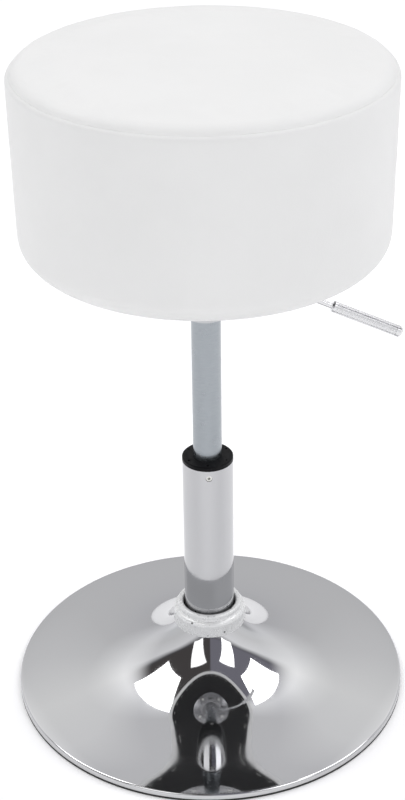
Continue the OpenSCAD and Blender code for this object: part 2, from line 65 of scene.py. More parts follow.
def make_camera():
    """A camera looking along +Y and down, turned by the pan, pitch and roll above."""
    forward = Vector((
        math.sin(CAMERA_PAN) * math.cos(CAMERA_PITCH),
        math.cos(CAMERA_PAN) * math.cos(CAMERA_PITCH),
        -math.sin(CAMERA_PITCH),
    ))
    level = Vector((math.cos(CAMERA_PAN), -math.sin(CAMERA_PAN), 0.0))
    upright = level.cross(forward)
    right = level * math.cos(CAMERA_ROLL) + upright * math.sin(CAMERA_ROLL)
    up = upright * math.cos(CAMERA_ROLL) - level * math.sin(CAMERA_ROLL)
    data = bpy.data.cameras.new("camera")
    data.lens = CAMERA_LENS
    data.sensor_width = CAMERA_SENSOR
    data.clip_end = 200.0
    camera = bpy.data.objects.new("camera", data)
    bpy.context.scene.collection.objects.link(camera)
    camera.matrix_world = Matrix((
        (right.x, up.x, -forward.x, CAMERA_PLACE.x),
        (right.y, up.y, -forward.y, CAMERA_PLACE.y),
        (right.z, up.z, -forward.z, CAMERA_PLACE.z),
        (0.0, 0.0, 0.0, 1.0),
    ))
    bpy.context.scene.camera = camera


make_camera()


# ---- Studio ------------------------------------------------------------------------

FLOOR_RADIUS = 60.0
SOFTBOX_DISTANCE = 5.0
STUDIO_CENTRE = Vector((0.0, 0.0, 0.05))


def link_nodes(tree, *pairs):
    for source, target in pairs:
        tree.links.new(source, target)


def ramp_node(tree, stops):
    """A colour ramp from (place, grey or colour) stops."""
    ramp = tree.nodes.new("ShaderNodeValToRGB")
    elements = ramp.color_ramp.elements
    while len(elements) < len(stops):
        elements.new(0.5)
    for element, (place, value) in zip(elements, stops):
        element.position = place
        colour = value if hasattr(value, "__len__") else (value, value, value)
        element.color = (*colour, 1.0)
    return ramp


def math_node(tree, operation, first, second=None, clamp=False):
    """A Math node whose inputs are sockets or numbers."""
    node = tree.nodes.new("ShaderNodeMath")
    node.operation = operation
    node.use_clamp = clamp
    for socket, value in zip(node.inputs, (first, second)):
        if value is None:
            continue
        if isinstance(value, (int, float)):
            socket.default_value = value
        else:
            tree.links.new(value, socket)
    return node.outputs[0]


def rise_node(tree, value, start, slope):
    """0 where value is at start, and from there along slope up to 1."""
    offset = math_node(tree, "SUBTRACT", value, start)
    return math_node(tree, "MULTIPLY", offset, slope, clamp=True)


def mix_node(tree, factor, first, second):
    """A colour mix of two sockets or colours."""
    mix = tree.nodes.new("ShaderNodeMix")
    mix.data_type = "RGBA"
    tree.links.new(factor, mix.inputs["Factor"])
    for socket, value in ((mix.inputs["A"], first), (mix.inputs["B"], second)):
        if isinstance(value, tuple):
            socket.default_value = (*value, 1.0)
        else:
            tree.links.new(value, socket)
    return mix.outputs["Result"]


def brighten_node(tree, colour, share, amount):
    """Colour times 1 + share * amount."""
    gain = math_node(tree, "ADD", 1.0, math_node(tree, "MULTIPLY", share, amount))
    scale = tree.nodes.new("ShaderNodeVectorMath")
    scale.operation = "SCALE"
    link_nodes(tree, (colour, scale.inputs[0]), (gain, scale.inputs["Scale"]))
    return scale.outputs[0]


def make_world():
    """Pale walls behind and in front, with a dark ceiling in front."""
    world = bpy.data.worlds.new("studio")
    bpy.context.scene.world = world
    world.use_nodes = True
    tree = world.node_tree
    background = tree.nodes["Background"]
    place = tree.nodes.new("ShaderNodeTexCoord")
    split = tree.nodes.new("ShaderNodeSeparateXYZ")
    link_nodes(tree, (place.outputs["Generated"], split.inputs[0]))
    x, y, z = split.outputs
    squares = math_node(
        tree, "ADD", math_node(tree, "MULTIPLY", x, x), math_node(tree, "MULTIPLY", y, y))
    flat_length = math_node(tree, "MAXIMUM", math_node(tree, "SQRT", squares), 0.001)
    away = math_node(tree, "DIVIDE", y, flat_length)
    across = math_node(tree, "DIVIDE", x, flat_length)
    height = math_node(tree, "MAXIMUM", z, 0.0)

    behind = ramp_node(tree, [
        (0.0, (0.62, 0.62, 0.64)), (0.17, (0.68, 0.68, 0.70)), (0.42, (0.75, 0.75, 0.76)),
        (0.55, (0.84, 0.84, 0.85)), (0.68, (1.0, 1.0, 1.0)), (0.77, (0.95, 0.95, 0.96)),
        (0.84, (0.78, 0.78, 0.80)), (1.0, (0.75, 0.75, 0.76)),
    ])
    in_front = ramp_node(tree, [
        (0.0, (1.12, 1.13, 1.17)), (0.12, (1.08, 1.09, 1.12)), (0.21, (0.82, 0.83, 0.85)),
        (0.42, (0.80, 0.80, 0.81)), (0.62, (0.95, 0.95, 0.97)), (0.69, (0.10, 0.10, 0.11)),
        (0.93, (0.15, 0.15, 0.17)), (1.0, (0.25, 0.25, 0.28)),
    ])
    link_nodes(tree, (height, behind.inputs[0]), (height, in_front.inputs[0]))

    # Behind, the wall is brighter towards the sides.
    to_sides = rise_node(tree, math_node(tree, "ABSOLUTE", across), 0.40, 5.0)
    back_wall = brighten_node(tree, behind.outputs[0], to_sides, 0.35)

    # In front, a window lights the right, the ceiling is dark and browner to the left, and
    # the foot of the right wall is in shade.
    to_right = rise_node(tree, across, 0.15, 2.0)
    above_floor = rise_node(tree, height, 0.20, 8.0)
    window_share = math_node(tree, "MULTIPLY", above_floor, to_right)
    front_wall = brighten_node(tree, in_front.outputs[0], window_share, 0.12)
    ceiling = mix_node(
        tree, rise_node(tree, across, -0.03, 16.0),
        (0.085, 0.078, 0.078), (0.230, 0.225, 0.265))
    front_wall = mix_node(tree, rise_node(tree, height, 0.66, 20.0), front_wall, ceiling)
    shade = math_node(
        tree, "MULTIPLY", rise_node(tree, across, 0.62, 12.0),
        rise_node(tree, height, 0.24, -12.0))
    front_wall = mix_node(
        tree, math_node(tree, "MULTIPLY", shade, 0.45), front_wall, (0.0, 0.0, 0.0))

    side = tree.nodes.new("ShaderNodeMapRange")
    side.interpolation_type = "SMOOTHSTEP"
    side.inputs["From Min"].default_value = 0.55
    side.inputs["From Max"].default_value = 0.80
    link_nodes(tree, (away, side.inputs["Value"]))
    room = mix_node(tree, side.outputs[0], front_wall, back_wall)
    link_nodes(tree, (room, background.inputs["Color"]))
    background.inputs["Strength"].default_value = 1.0


def make_softbox(name, azimuth, elevation, width, height, radiance):
    """A rectangular soft light in the direction azimuth (0 is +Y, 90 is +X) and elevation."""
    a, e = math.radians(azimuth), math.radians(elevation)
    toward = Vector((math.sin(a) * math.cos(e), math.cos(a) * math.cos(e), math.sin(e)))
    data = bpy.data.lights.new(name, "AREA")
    data.shape = "RECTANGLE"
    data.size = 2 * SOFTBOX_DISTANCE * math.tan(math.radians(width / 2))
    data.size_y = 2 * SOFTBOX_DISTANCE * math.tan(math.radians(height / 2))
    data.energy = radiance * math.pi * data.size * data.size_y
    light = bpy.data.objects.new(name, data)
    bpy.context.scene.collection.objects.link(light)
    light.rotation_mode = "QUATERNION"
    light.rotation_quaternion = toward.to_track_quat("Z", "Y")
    light.location = STUDIO_CENTRE + toward * SOFTBOX_DISTANCE


def make_floor():
    """A plain sheet of white paper that reaches to the horizon."""
    mesh = bpy.data.meshes.new("floor")
    work = bmesh.new()
    bmesh.ops.create_circle(work, cap_ends=True, segments=96, radius=FLOOR_RADIUS)
    work.to_mesh(mesh)
    work.free()
    floor = bpy.data.objects.new("floor", mesh)
    bpy.context.scene.collection.objects.link(floor)
    paint = bpy.data.materials.new("floor_paper")
    paint.use_nodes = True
    shader = paint.node_tree.nodes["Principled BSDF"]
    shader.inputs["Base Color"].default_value = (0.90, 0.90, 0.905, 1.0)
    shader.inputs["Roughness"].default_value = 0.9
    shader.inputs["Specular IOR Level"].default_value = 0.0
    shader.inputs["Emission Color"].default_value = (1.0, 1.0, 1.0, 1.0)
    shader.inputs["Emission Strength"].default_value = 0.20
    mesh.materials.append(paint)


make_world()
make_softbox("left_softbox", -60.0, 60.0, 21.0, 20.0, 4.4)
make_softbox("right_softbox", 64.0, 58.5, 18.5, 20.0, 4.6)
make_softbox("left_window", -142.0, 56.0, 20.0, 26.0, 1.9)
make_softbox("right_window", 128.0, 54.0, 19.0, 25.0, 2.8)
make_floor()
bpy.context.scene.view_settings.view_transform = "Standard"


# ---- Materials ---------------------------------------------------------------------

def new_material(name, colour, metallic, roughness, **sockets):
    """A Principled material whose uniform values sit on the shader's own sockets."""
    paint = bpy.data.materials.new(name)
    paint.use_nodes = True
    shader = paint.node_tree.nodes["Principled BSDF"]
    shader.inputs["Base Color"].default_value = (*colour, 1.0)
    shader.inputs["Metallic"].default_value = metallic
    shader.inputs["Roughness"].default_value = roughness
    for socket, value in sockets.items():
        shader.inputs[socket.replace("_", " ")].default_value = value
    return paint


def place_socket(tree, stretch=(1.0, 1.0, 1.0)):
    """Object coordinates in metres, multiplied by stretch."""
    place = tree.nodes.new("ShaderNodeTexCoord")
    mapping = tree.nodes.new("ShaderNodeMapping")
    mapping.inputs["Scale"].default_value = stretch
    tree.links.new(place.outputs["Object"], mapping.inputs["Vector"])
    return mapping.outputs[0]


def noise_socket(tree, scale, detail=3.0, stretch=(1.0, 1.0, 1.0), roughness=0.5):
    """A 0 to 1 noise over the piece, scale features to the metre."""
    texture = tree.nodes.new("ShaderNodeTexNoise")
    texture.inputs["Scale"].default_value = scale
    texture.inputs["Detail"].default_value = detail
    texture.inputs["Roughness"].default_value = roughness
    tree.links.new(place_socket(tree, stretch), texture.inputs["Vector"])
    return texture.outputs["Fac"]


def cell_socket(tree, scale, feature="F1"):
    """The distance to the nearest of scattered points, scale of them to the metre."""
    texture = tree.nodes.new("ShaderNodeTexVoronoi")
    texture.feature = feature
    texture.inputs["Scale"].default_value = scale
    tree.links.new(place_socket(tree), texture.inputs["Vector"])
    return texture.outputs["Distance"]


def vary(paint, socket, fac, low, high, stops=(0.35, 0.65)):
    """Drives a socket from a 0 to 1 texture, between two values or colours."""
    tree = paint.node_tree
    target = tree.nodes["Principled BSDF"].inputs[socket]
    ramp = ramp_node(tree, [(stops[0], low), (stops[1], high)])
    tree.links.new(fac, ramp.inputs[0])
    tree.links.new(ramp.outputs[0], target)


def add_bump(paint, height, depth, strength=1.0):
    """Bumps the surface by height, a 0 to 1 texture, times depth in metres."""
    tree = paint.node_tree
    shader = tree.nodes["Principled BSDF"]
    bump = tree.nodes.new("ShaderNodeBump")
    bump.inputs["Distance"].default_value = depth
    bump.inputs["Strength"].default_value = strength
    if shader.inputs["Normal"].is_linked:
        tree.links.new(shader.inputs["Normal"].links[0].from_socket, bump.inputs["Normal"])
    tree.links.new(height, bump.inputs["Height"])
    tree.links.new(bump.outputs[0], shader.inputs["Normal"])


def make_chrome():
    """Bright chromium plate with a faint haze and very slight waviness."""
    paint = new_material("chrome_plate", (0.57, 0.572, 0.58), 1.0, 0.04)
    tree = paint.node_tree
    vary(paint, "Roughness", noise_socket(tree, 35.0, 5.0), 0.025, 0.06)
    add_bump(paint, noise_socket(tree, 9.0, 1.0), 0.00006)
    return paint


def make_ring_plate():
    """The collar's pale satin plate, with a few pin holes in the casting, painted near-black as the
    shade inside them.
    """
    paint = new_material("ring_plate", (0.74, 0.745, 0.745), 0.30, 0.30)
    tree = paint.node_tree
    vary(paint, "Roughness", noise_socket(tree, 220.0, 4.0), 0.24, 0.36)
    pits_painted_shade = cell_socket(tree, 100.0)
    # Painted shade: near-black spots stand in for the shade inside the pin holes.
    vary(paint, "Base Color", pits_painted_shade, (0.03, 0.03, 0.03), (0.74, 0.745, 0.745), (0.08, 0.12))
    add_bump(paint, noise_socket(tree, 300.0, 3.0), 0.00010)
    return paint


def make_tube_chrome_painted_shade():
    """The stand tube's plate, its colour set darker than the base's as painted shade for the dimmer
    surroundings it reflects.
    """
    # Painted shade: the base colour is lower than chrome_plate's to darken the tube's reflections.
    paint = new_material("tube_plate", (0.515, 0.517, 0.528), 1.0, 0.05)
    tree = paint.node_tree
    vary(paint, "Roughness", noise_socket(tree, 35.0, 5.0), 0.03, 0.07)
    add_bump(paint, noise_socket(tree, 9.0, 1.0), 0.00004)
    return paint


def make_grip_chrome():
    """The lever's bright satin chrome."""
    paint = new_material("lever_plate", (0.74, 0.74, 0.745), 1.0, 0.20)
    tree = paint.node_tree
    vary(paint, "Roughness", noise_socket(tree, 150.0, 3.0), 0.16, 0.25)
    add_bump(paint, noise_socket(tree, 500.0, 2.0), 0.00002)
    return paint


def make_pressed_steel():
    """Zinc-plated pressed sheet, lightly streaked by the press."""
    paint = new_material("pressed_steel", (0.40, 0.40, 0.41), 1.0, 0.13)
    tree = paint.node_tree
    vary(paint, "Roughness", noise_socket(tree, 25.0, 2.0), 0.11, 0.16)
    add_bump(paint, noise_socket(tree, 60.0, 1.0), 0.00001)
    return paint


def make_gas_steel_painted_shade():
    """The pressure tube's ground steel, fine rings round it and a thin film of oil; its colour is
    set darker than the column's satin steel as painted shade from the seat above.
    """
    # Painted shade: the low base colour stands in for the shade under the seat.
    paint = new_material("gas_tube_steel", (0.345, 0.37, 0.392), 1.0, 0.24)
    tree = paint.node_tree
    vary(paint, "Roughness", noise_socket(tree, 60.0, 4.0), 0.20, 0.28)
    marks = noise_socket(tree, 900.0, 2.0, (0.15, 0.15, 2.0))
    vary(paint, "Base Color", marks, (0.33, 0.355, 0.377), (0.36, 0.385, 0.407))
    add_bump(paint, marks, 0.00001)
    return paint


def make_satin_steel():
    """Ground steel, with fine marks round the column."""
    paint = new_material("satin_steel", (0.50, 0.505, 0.515), 1.0, 0.24)
    tree = paint.node_tree
    vary(paint, "Roughness", noise_socket(tree, 60.0, 4.0), 0.20, 0.30)
    marks = noise_socket(tree, 900.0, 2.0, (0.15, 0.15, 2.0))
    vary(paint, "Base Color", marks, (0.47, 0.475, 0.485), (0.53, 0.535, 0.545))
    add_bump(paint, marks, 0.00001)
    return paint


def make_zinc():
    """Zinc plate, a little cloudy."""
    paint = new_material("zinc_plate", (0.66, 0.66, 0.63), 1.0, 0.36)
    tree = paint.node_tree
    vary(paint, "Roughness", noise_socket(tree, 300.0, 4.0), 0.28, 0.46)
    film = noise_socket(tree, 160.0, 3.0)
    vary(paint, "Base Color", film, (0.60, 0.60, 0.58), (0.72, 0.72, 0.69))
    add_bump(paint, noise_socket(tree, 1500.0, 2.0), 0.00002)
    return paint


def make_cast_iron():
    """Grey iron with a sand-cast skin."""
    paint = new_material("cast_iron_grey", (0.07, 0.07, 0.072), 0.6, 0.7)
    tree = paint.node_tree
    grain = noise_socket(tree, 500.0, 5.0)
    vary(paint, "Base Color", grain, (0.05, 0.05, 0.052), (0.10, 0.098, 0.095))
    add_bump(paint, grain, 0.0003)
    return paint


def make_black_plastic():
    """Moulded black plastic with a fine spark texture."""
    paint = new_material(
        "moulded_black", (0.004, 0.004, 0.005), 0.0, 0.42, Specular_IOR_Level=0.10)
    tree = paint.node_tree
    vary(paint, "Roughness", noise_socket(tree, 240.0, 4.0), 0.34, 0.52)
    flow = noise_socket(tree, 90.0, 3.0)
    vary(paint, "Base Color", flow, (0.004, 0.004, 0.005), (0.009, 0.009, 0.010))
    add_bump(paint, noise_socket(tree, 2200.0, 3.0), 0.00003)
    return paint


def make_rubber():
    """Black rubber with a faint bloom."""
    paint = new_material("black_rubber", (0.010, 0.010, 0.010), 0.0, 0.75)
    tree = paint.node_tree
    bloom = noise_socket(tree, 120.0, 4.0)
    vary(paint, "Base Color", bloom, (0.007, 0.007, 0.007), (0.016, 0.016, 0.016))
    add_bump(paint, noise_socket(tree, 1400.0, 3.0), 0.00005)
    return paint


def make_vinyl():
    """White upholstery vinyl with a fine pebble grain."""
    paint = new_material(
        "white_vinyl_cloth", (0.772, 0.772, 0.764), 0.0, 0.50, Specular_IOR_Level=0.32)
    tree = paint.node_tree
    shade = noise_socket(tree, 14.0, 4.0)
    vary(paint, "Base Color", shade, (0.764, 0.764, 0.754), (0.780, 0.780, 0.770))
    vary(paint, "Roughness", noise_socket(tree, 60.0, 3.0), 0.48, 0.56)
    add_bump(paint, cell_socket(tree, 950.0, "SMOOTH_F1"), 0.00010, 0.55)
    add_bump(paint, noise_socket(tree, 240.0, 3.0), 0.00008, 0.5)
    return paint


def make_foam():
    """Cut polyurethane foam with open cells."""
    paint = new_material("cream_foam", (0.80, 0.70, 0.45), 0.0, 0.95)
    tree = paint.node_tree
    vary(paint, "Base Color", noise_socket(tree, 40.0, 4.0), (0.74, 0.64, 0.40), (0.86, 0.77, 0.53))
    add_bump(paint, cell_socket(tree, 900.0), 0.0006)
    return paint


def make_plywood():
    """Plies show as bands in height, with grain along X."""
    paint = new_material("birch_ply", (0.60, 0.44, 0.26), 0.0, 0.62)
    tree = paint.node_tree
    grain = noise_socket(tree, 60.0, 6.0, (0.15, 1.0, 9.0), 0.6)
    vary(paint, "Base Color", grain, (0.46, 0.31, 0.17), (0.70, 0.54, 0.34))
    add_bump(paint, grain, 0.00012)
    return paint


def make_brass():
    """Turned brass, with marks round its axis."""
    paint = new_material("turned_brass", (0.62, 0.44, 0.17), 1.0, 0.3)
    tree = paint.node_tree
    vary(paint, "Roughness", noise_socket(tree, 400.0, 3.0, (0.2, 0.2, 3.0)), 0.22, 0.38)
    add_bump(paint, noise_socket(tree, 700.0, 2.0, (0.2, 0.2, 3.0)), 0.00002)
    return paint


def make_dust_cloth():
    """Black non-woven cloth: pressed fibres with a grid of bond points."""
    paint = new_material(
        "dust_cloth_black", (0.010, 0.010, 0.011), 0.0, 0.9, Sheen_Weight=0.15)
    tree = paint.node_tree
    fibres = noise_socket(tree, 1200.0, 4.0, (1.0, 0.3, 1.0))
    vary(paint, "Base Color", fibres, (0.006, 0.006, 0.007), (0.018, 0.018, 0.019))
    add_bump(paint, fibres, 0.0001)
    add_bump(paint, cell_socket(tree, 420.0), 0.00015, 0.6)
    return paint


PAINTS = {
    "chrome": make_chrome(),
    "satin_chrome": make_satin_steel(),
    "zinc": make_zinc(),
    "cast_iron": make_cast_iron(),
    "black_plastic": make_black_plastic(),
    "rubber": make_rubber(),
    "white_vinyl": make_vinyl(),
    "foam": make_foam(),
    "plywood": make_plywood(),
    "brass": make_brass(),
    "dust_cloth": make_dust_cloth(),
}
RING_PAINT = make_ring_plate()
GRIP_PAINT = make_grip_chrome()
OWN_PAINTS = {
    "outer_tube": make_tube_chrome_painted_shade(),
    "gas_cylinder": make_gas_steel_painted_shade(),
    "seat_plate": make_pressed_steel(),
    "lever_grip": GRIP_PAINT,
    "lever_rod": GRIP_PAINT,
}


def paint_cad_nodes():
    """Every CAD node takes its own material or that of its slot in the record."""
    for part in frame["record"]["subparts"]:
        name = part["node"]
        for material_slot in nodes[name].material_slots:
            material_slot.material = OWN_PAINTS.get(name, PAINTS[part["material_slot"]])


paint_cad_nodes()


# ---- Shared mesh code ----------------------------------------------------------------

SHARP_ANGLE = math.radians(32)


def mesh_object(name, work, paint):
    """Turns a bmesh into a smooth-shaded object with sharp creases kept."""
    bmesh.ops.recalc_face_normals(work, faces=work.faces)
    for face in work.faces:
        face.smooth = True
    for edge in work.edges:
        if len(edge.link_faces) == 2 and edge.calc_face_angle(0.0) > SHARP_ANGLE:
            edge.smooth = False
    mesh = bpy.data.meshes.new(name)
    work.to_mesh(mesh)
    work.free()
    mesh.materials.append(paint)
    piece = bpy.data.objects.new(name, mesh)
    bpy.context.scene.collection.objects.link(piece)
    return piece


def lathe(outline, segments, closed=True):
    """A bmesh that turns (radius, height) points about Z. A closed outline is a solid."""
    work = bmesh.new()
    rings = []
    for radius, height in outline:
        if radius < 1e-6:
            rings.append([work.verts.new((0.0, 0.0, height))] * segments)
            continue
        rings.append([
            work.verts.new((radius * math.cos(a), radius * math.sin(a), height))
            for a in (2 * math.pi * i / segments for i in range(segments))
        ])
    count = len(rings) if closed else len(rings) - 1
    for k in range(count):
        lower, upper = rings[k], rings[(k + 1) % len(rings)]
        for i in range(segments):
            j = (i + 1) % segments
            corners = []
            for corner in (lower[i], lower[j], upper[j], upper[i]):
                if corner not in corners:
                    corners.append(corner)
            if len(corners) > 2:
                work.faces.new(corners)
    return work


def arc(centre, radius, start, end, steps):
    """Points on an arc in the (radius, height) plane; angles in degrees."""
    return [
        (centre[0] + radius * math.cos(math.radians(start + (end - start) * i / steps)),
         centre[1] + radius * math.sin(math.radians(start + (end - start) * i / steps)))
        for i in range(steps + 1)
    ]


def finish_piece(piece, body, node):
    """Joins a piece to its body and hides the CAD node that it stands for."""
    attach(piece, body)
    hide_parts(node)


# ---- Base shell ------------------------------------------------------------------------

SHELL_THICKNESS = 1.5 * MM
NECK_RADIUS = 34 * MM
TURN_RADIUS = 165 * MM
NECK_SLOPE = 49.3
TURN_SLOPE = 8.65
RIM_SLOPE = 11.7
FOLD_RADIUS = 2.5 * MM
FOLD_HEIGHT = 5.95 * MM
FLANK_SHARE = [
    (0.0, 1.0), (0.076, 0.845), (0.168, 0.615), (0.26, 0.486), (0.351, 0.386), (0.443, 0.29),
    (0.534, 0.2), (0.641, 0.101), (0.748, 0.057), (0.847, 0.025), (0.947, 0.002), (1.0, 0.0),
]


def share_at(fraction):
    """FLANK_SHARE read between its points."""
    for (x0, y0), (x1, y1) in zip(FLANK_SHARE, FLANK_SHARE[1:]):
        if fraction <= x1:
            return y0 + (y1 - y0) * (fraction - x0) / (x1 - x0)
    return 0.0


def slope_at(radius, rim):
    """Slope of the trumpet's outer face in radians, as part.scad gives it."""
    if radius < TURN_RADIUS:
        share = share_at((radius - NECK_RADIUS) / (TURN_RADIUS - NECK_RADIUS))
        return math.radians(TURN_SLOPE + (NECK_SLOPE - TURN_SLOPE) * share)
    share = ((radius - TURN_RADIUS) / (rim - TURN_RADIUS)) ** 3
    return math.radians(TURN_SLOPE + (RIM_SLOPE - TURN_SLOPE) * share)


def smoothed(values, passes):
    """Values with their small corners eased; the two ends stay."""
    for _ in range(passes):
        middle = [
            (a + 2 * b + c) / 4 for a, b, c in zip(values, values[1:], values[2:])
        ]
        values = [values[0], *middle, values[-1]]
    return values


def make_base_shell():
    """The spun trumpet: hollow flank, domed skirt and rolled rim, in one smooth face."""
    low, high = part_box("base_shell")
    rim = high.x
    fold_centre = rim - FOLD_RADIUS
    end_slope = slope_at(fold_centre, rim)
    end_radius = fold_centre + FOLD_RADIUS * math.sin(end_slope)
    steps = 180
    radii = [NECK_RADIUS + (end_radius - NECK_RADIUS) * i / steps for i in range(steps + 1)]
    slopes = smoothed([slope_at(radius, rim) for radius in radii], 40)
    heights = [FOLD_HEIGHT + FOLD_RADIUS * math.cos(end_slope)]
    for k in range(steps, 0, -1):
        middle = (slopes[k] + slopes[k - 1]) / 2
        heights.insert(0, heights[0] + (radii[k] - radii[k - 1]) * math.tan(middle))

    def side(inset):
        face = [
            (radius - inset * math.sin(slope), height - inset * math.cos(slope))
            for radius, height, slope in zip(radii, heights, slopes)
        ]
        fold = arc(
            (fold_centre, FOLD_HEIGHT), FOLD_RADIUS - inset, 90 - math.degrees(end_slope), 0, 10)
        return face + fold[1:]

    land = high.z
    bore = 26 * MM
    outline = [(bore, land - SHELL_THICKNESS), (bore, land), (NECK_RADIUS - 1.8 * MM, land)]
    outline += [(NECK_RADIUS - 0.8 * MM, land - 0.5 * MM)]
    outline += side(0.0)
    outline += [(rim, low.z + 0.2 * MM), (rim - 0.2 * MM, low.z)]
    outline += [(rim - SHELL_THICKNESS, low.z)]
    outline += side(SHELL_THICKNESS)[::-1]
    outline += [(NECK_RADIUS - 2.4 * MM, land - SHELL_THICKNESS)]
    piece = mesh_object("trumpet_shell", lathe(outline, 288), PAINTS["chrome"])
    finish_piece(piece, "base", "base_shell")


def make_collar_ring():
    """The cap on the neck: a rounded lip on a rounded shoulder."""
    low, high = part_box("collar_ring")
    wide = high.x
    lip = 32.4 * MM
    bore = 26.8 * MM
    step = high.z - 6 * MM
    outline = [(bore + 2.5 * MM, low.z), (wide - 0.8 * MM, low.z), (wide, low.z + 0.8 * MM)]
    outline += arc((wide - 4 * MM, step - 4 * MM), 4 * MM, 0, 84, 12)
    outline += arc((lip + 0.5 * MM, step + 0.6 * MM), 0.6 * MM, -100, -170, 4)
    outline += arc((lip - 2.2 * MM, high.z - 2.2 * MM), 2.2 * MM, 0, 90, 10)
    outline += arc((bore + 2.2 * MM, high.z - 2.2 * MM), 2.2 * MM, 90, 180, 10)
    outline += [(bore, step - 3 * MM), (bore + 2.5 * MM, step - 3 * MM)]
    piece = mesh_object("collar_cap", lathe(outline, 160), RING_PAINT)
    finish_piece(piece, "base", "collar_ring")


make_base_shell()
make_collar_ring()


# ---- Cushion ---------------------------------------------------------------------------

COVER_THICKNESS = 1.1 * MM
HEM_RADIUS = 125 * MM
SEAM_ANGLE = 30.0
TOP_EDGE = 15 * MM
BOTTOM_EDGE = 22 * MM
CROWN = 3 * MM
DRAFT = 1.5 * MM
COVER_SEGMENTS = 168


def crown_points(centre_radius, top, inset, steps):
    """The shallow dome of the top, from the edge's arc to the middle."""
    points = []
    for i in range(1, steps + 1):
        radius = centre_radius * (1 - i / steps)
        points.append((radius, top - CROWN * (radius / centre_radius) ** 2 - inset))
    return points


def cover_rows():
    """Half outline of the cover from its hem to the middle of the top, and the seam's row."""
    low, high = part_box("seat_cover")
    wide = high.x
    narrow = wide - DRAFT
    lower = (narrow - BOTTOM_EDGE, low.z + BOTTOM_EDGE)
    upper = (wide - TOP_EDGE, high.z - CROWN - TOP_EDGE)
    hem = [(HEM_RADIUS + (lower[0] - HEM_RADIUS) * i / 4, low.z) for i in range(4)]
    turn = arc(lower, BOTTOM_EDGE, -90, 0, 9)
    side = [
        (narrow + DRAFT * i / 22, lower[1] + (upper[1] - lower[1]) * i / 22) for i in range(1, 22)
    ]
    below = arc(upper, TOP_EDGE, 0, SEAM_ANGLE, 6)
    above = arc(upper, TOP_EDGE, SEAM_ANGLE, 88, 11)[1:]
    top = crown_points(upper[0], high.z, 0.0, 22)
    rows = hem + turn + side + below + above + top
    return rows, len(hem) + len(turn) + len(side) + len(below) - 1


def grid_mesh(name, rows):
    """A plain lathed sheet; its vertices run ring by ring, and the last is the pole."""
    vertices = []
    for radius, height in rows[:-1]:
        for i in range(COVER_SEGMENTS):
            a = 2 * math.pi * i / COVER_SEGMENTS
            vertices.append((radius * math.cos(a), radius * math.sin(a), height))
    vertices.append((0.0, 0.0, rows[-1][1]))
    faces = []
    for k in range(len(rows) - 2):
        for i in range(COVER_SEGMENTS):
            j = (i + 1) % COVER_SEGMENTS
            first = k * COVER_SEGMENTS
            above = first + COVER_SEGMENTS
            faces.append((first + i, first + j, above + j, above + i))
    last = (len(rows) - 2) * COVER_SEGMENTS
    for i in range(COVER_SEGMENTS):
        faces.append((last + i, last + (i + 1) % COVER_SEGMENTS, len(vertices) - 1))
    mesh = bpy.data.meshes.new(name)
    mesh.from_pydata(vertices, [], faces)
    return mesh


def inflate(mesh, held, cap):
    """Blows the sheet up as cloth from the held vertices, and returns the capped places."""
    work = bpy.data.objects.new("cover_work", mesh)
    bpy.context.scene.collection.objects.link(work)
    group = work.vertex_groups.new(name="held")
    group.add(held, 1.0, "REPLACE")
    cloth = work.modifiers.new("cloth", "CLOTH")
    cloth.settings.quality = 5
    cloth.settings.mass = 0.4
    cloth.settings.tension_stiffness = 25.0
    cloth.settings.compression_stiffness = 12.0
    cloth.settings.shear_stiffness = 12.0
    cloth.settings.bending_stiffness = 1.5
    cloth.settings.use_pressure = True
    cloth.settings.uniform_pressure_force = 4.0
    cloth.settings.vertex_group_mass = "held"
    cloth.settings.effector_weights.gravity = 0.0
    cloth.collision_settings.use_collision = False
    cloth.point_cache.frame_start = 1
    cloth.point_cache.frame_end = 20
    for frame_number in range(1, 21):
        bpy.context.scene.frame_set(frame_number)
    solved = work.evaluated_get(bpy.context.evaluated_depsgraph_get())
    places = []
    for before, after in zip(mesh.vertices, solved.data.vertices):
        move = after.co - before.co
        if move.length > cap:
            move *= cap / move.length
        places.append(before.co + move)
    bpy.data.objects.remove(work)
    bpy.context.scene.frame_set(1)
    return places


def dress_seam(places, rows, seam):
    """Draws the cloth in along the seam, with faint puckers running away from it."""
    seam_place = Vector(rows[seam])
    dressed = []
    for index, place in enumerate(places):
        flat = math.hypot(place.x, place.y)
        if flat < 1e-4:
            dressed.append(place)
            continue
        away = (Vector((flat, place.z)) - seam_place).length
        angle = math.atan2(place.y, place.x)
        groove = 1.4 * MM * math.exp(-(away / (1.9 * MM)) ** 2)
        row = index // COVER_SEGMENTS
        around = Vector((math.cos(angle) * 5.0, math.sin(angle) * 5.0, row * 0.02))
        coarse = noise.noise(around * 1.6)
        fine = noise.noise(around * 4.0 + Vector((7.0, 3.0, 1.0)))
        pucker = (0.40 * coarse + 0.34 * fine) * MM * math.exp(-(away / (13 * MM)) ** 2)
        inward = Vector((-place.x / flat, -place.y / flat, 0.0)) * 0.8 + Vector((0.0, 0.0, -0.6))
        dressed.append(place + inward * (groove + pucker))
    return dressed


